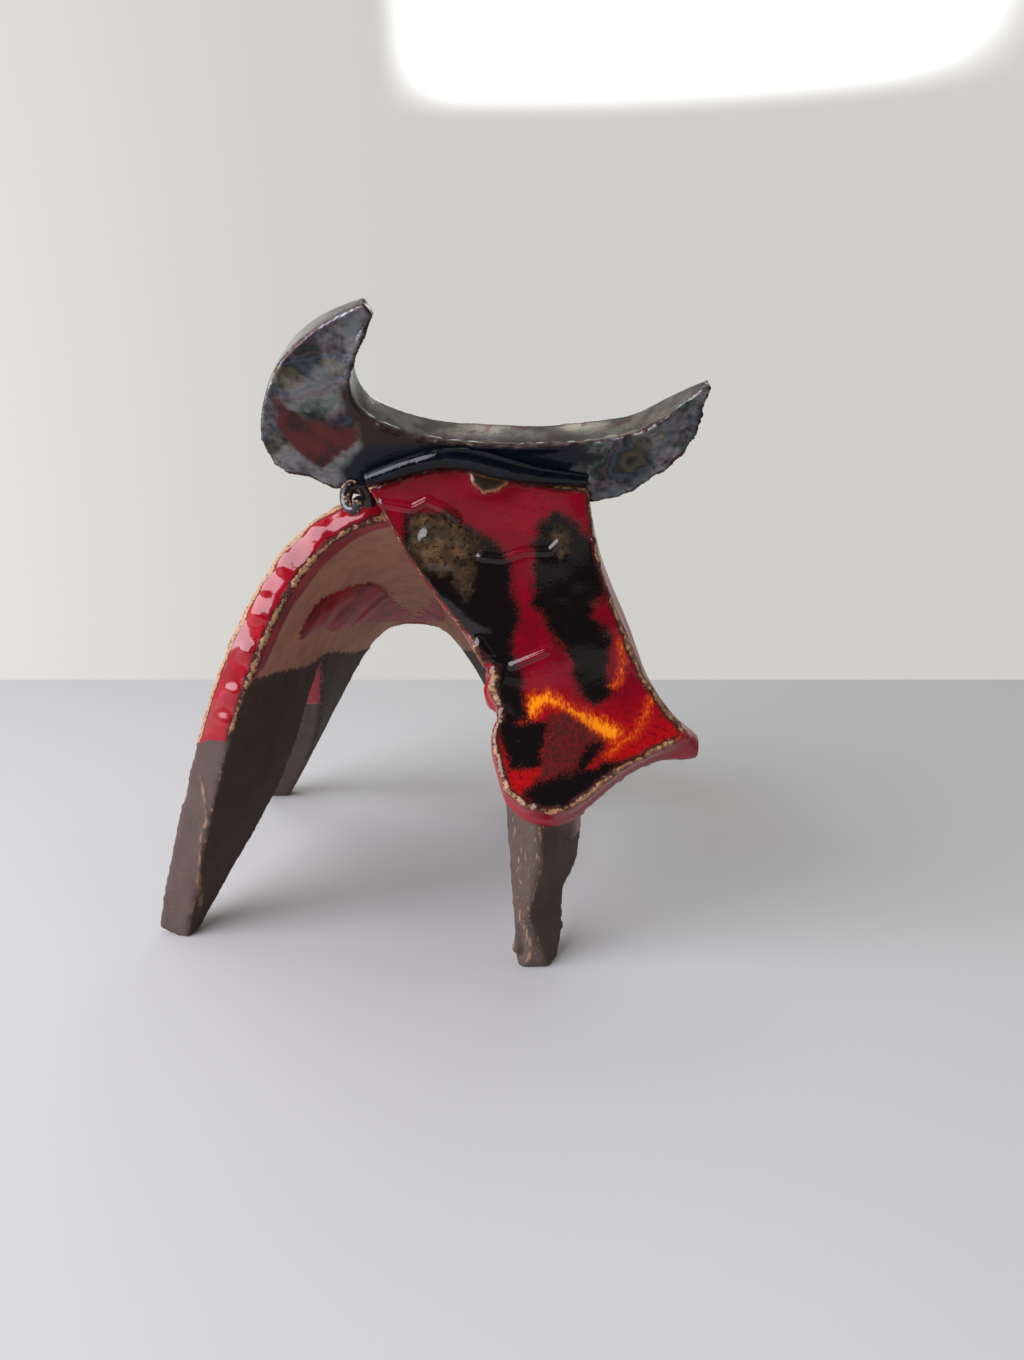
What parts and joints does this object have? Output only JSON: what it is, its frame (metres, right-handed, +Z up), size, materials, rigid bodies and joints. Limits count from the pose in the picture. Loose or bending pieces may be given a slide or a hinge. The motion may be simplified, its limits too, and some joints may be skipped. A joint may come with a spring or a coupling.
{
  "type": "ceramic bull sculpture",
  "caption": "Hand-built glazed ceramic bull: a draped, notched clay saddle as body and legs, a bent head slab and a leaning crescent of horns.",
  "frame": {"origin": "on the ground under the middle of the bounding box", "axes": "+Z up; the bull faces -Y, its tail end is towards +Y, and its right side is towards -X"},
  "size_m": [0.126, 0.1322, 0.1416],
  "materials": {
    "body_glaze_and_clay": "thick glossy red glaze on top, bare matt brown clay on the legs and underneath",
    "head_glaze": "thick glossy glaze, red with black and amber runs",
    "horn_lustre": "blue-black glossy glaze with a metallic lustre",
    "black_glaze": "black glossy glaze",
    "bare_clay": "bare matt stoneware"
  },
  "bodies": {
    "root": {"body_saddle": "body_glaze_and_clay", "head_slab": "head_glaze", "horn_crescent": "horn_lustre", "horn_joint_coil": "black_glaze", "corner_curl": "bare_clay"}
  },
  "joints": []
}
